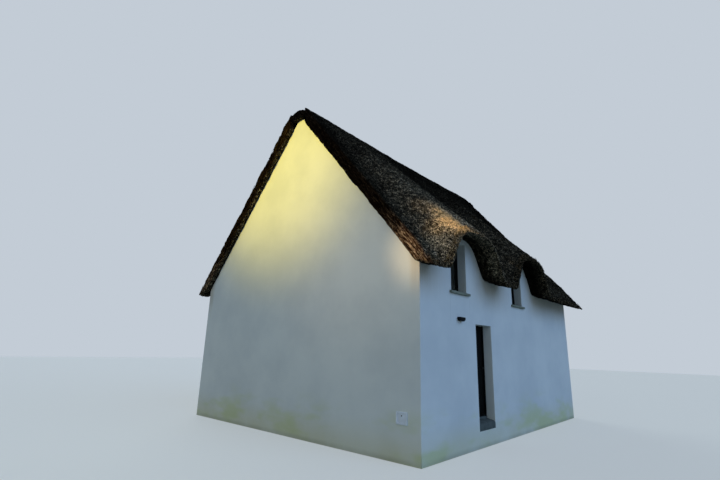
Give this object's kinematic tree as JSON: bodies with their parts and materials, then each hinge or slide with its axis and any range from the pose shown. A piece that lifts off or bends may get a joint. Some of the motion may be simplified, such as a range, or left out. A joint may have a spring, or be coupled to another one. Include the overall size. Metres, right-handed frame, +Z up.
{
  "type": "thatched cottage",
  "caption": "White rendered cottage, one and a half storeys, under a steep reed thatch roof whose eaves lift over the upper windows in eyebrow arches, with a hinged front door.",
  "frame": {"origin": "middle of the footprint, at the foot of the walls, which is the lowest ground that they meet", "axes": "+X along the house from the near gable to the far gable; -Y out of the front wall, where the door is; +Z up"},
  "size_m": [9.1, 8.74, 8.287],
  "materials": {
    "lime_render": "fine floated masonry render, white, matt",
    "reed_thatch": "weathered cut reed, grey-brown, matt",
    "ridge_thatch": "weathered reed wrapped over the ridge, dark, matt",
    "floor_screed": "smoothed, matt",
    "roof_timber": "sawn softwood, matt",
    "dark_joinery": "anthracite powder coat, satin",
    "window_glass": "clear double glazing",
    "slate_sill": "honed, blue-grey, satin",
    "step_stone": "sawn, grey, matt",
    "steel_fittings": "fine brushed and blackened",
    "lamp_paint": "fine texture, near black, matt",
    "cover_plastic": "fine grained, off-white, matt"
  },
  "bodies": {
    "cottage": {"near_gable_wall": "lime_render", "far_gable_wall": "lime_render", "front_wall_near_end": "lime_render", "front_wall_over_door": "lime_render", "front_wall_far_end": "lime_render", "front_wall_below_door": "lime_render", "back_wall_near_end": "lime_render", "back_wall_far_end": "lime_render", "thatch_front_slope": "reed_thatch", "thatch_back_slope": "reed_thatch", "thatch_ridge": "ridge_thatch", "ground_floor": "floor_screed", "upper_floor": "floor_screed", "ridge_beam": "roof_timber", "purlin_front_lower": "roof_timber", "purlin_front_upper": "roof_timber", "purlin_back_lower": "roof_timber", "purlin_back_upper": "roof_timber", "front_window_1_frame": "dark_joinery", "front_window_1_casement": "dark_joinery", "front_window_1_glass": "window_glass", "front_window_1_sill": "slate_sill", "front_window_2_frame": "dark_joinery", "front_window_2_casement": "dark_joinery", "front_window_2_glass": "window_glass", "front_window_2_sill": "slate_sill", "back_window_1_frame": "dark_joinery", "back_window_1_casement": "dark_joinery", "back_window_1_glass": "window_glass", "back_window_1_sill": "slate_sill", "back_window_2_frame": "dark_joinery", "back_window_2_casement": "dark_joinery", "back_window_2_glass": "window_glass", "back_window_2_sill": "slate_sill", "doorstep": "step_stone", "door_threshold": "step_stone", "door_frame": "dark_joinery", "wall_lamp_plate": "lamp_paint", "wall_lamp_body": "lamp_paint", "meter_cover_frame": "cover_plastic", "meter_cover_hatch": "cover_plastic"},
    "front_door": {"door_leaf": "dark_joinery", "door_handle_outer": "steel_fittings", "door_handle_inner": "steel_fittings", "door_hinge_lower": "steel_fittings", "door_hinge_upper": "steel_fittings"}
  },
  "joints": [
    {"name": "front_door_hinge", "type": "hinge", "parent": "cottage", "child": "front_door", "pos_m": [-2.1322, -3.5817, 1.5], "axis": [0, 0, 1], "range_deg": [0, 100]}
  ]
}
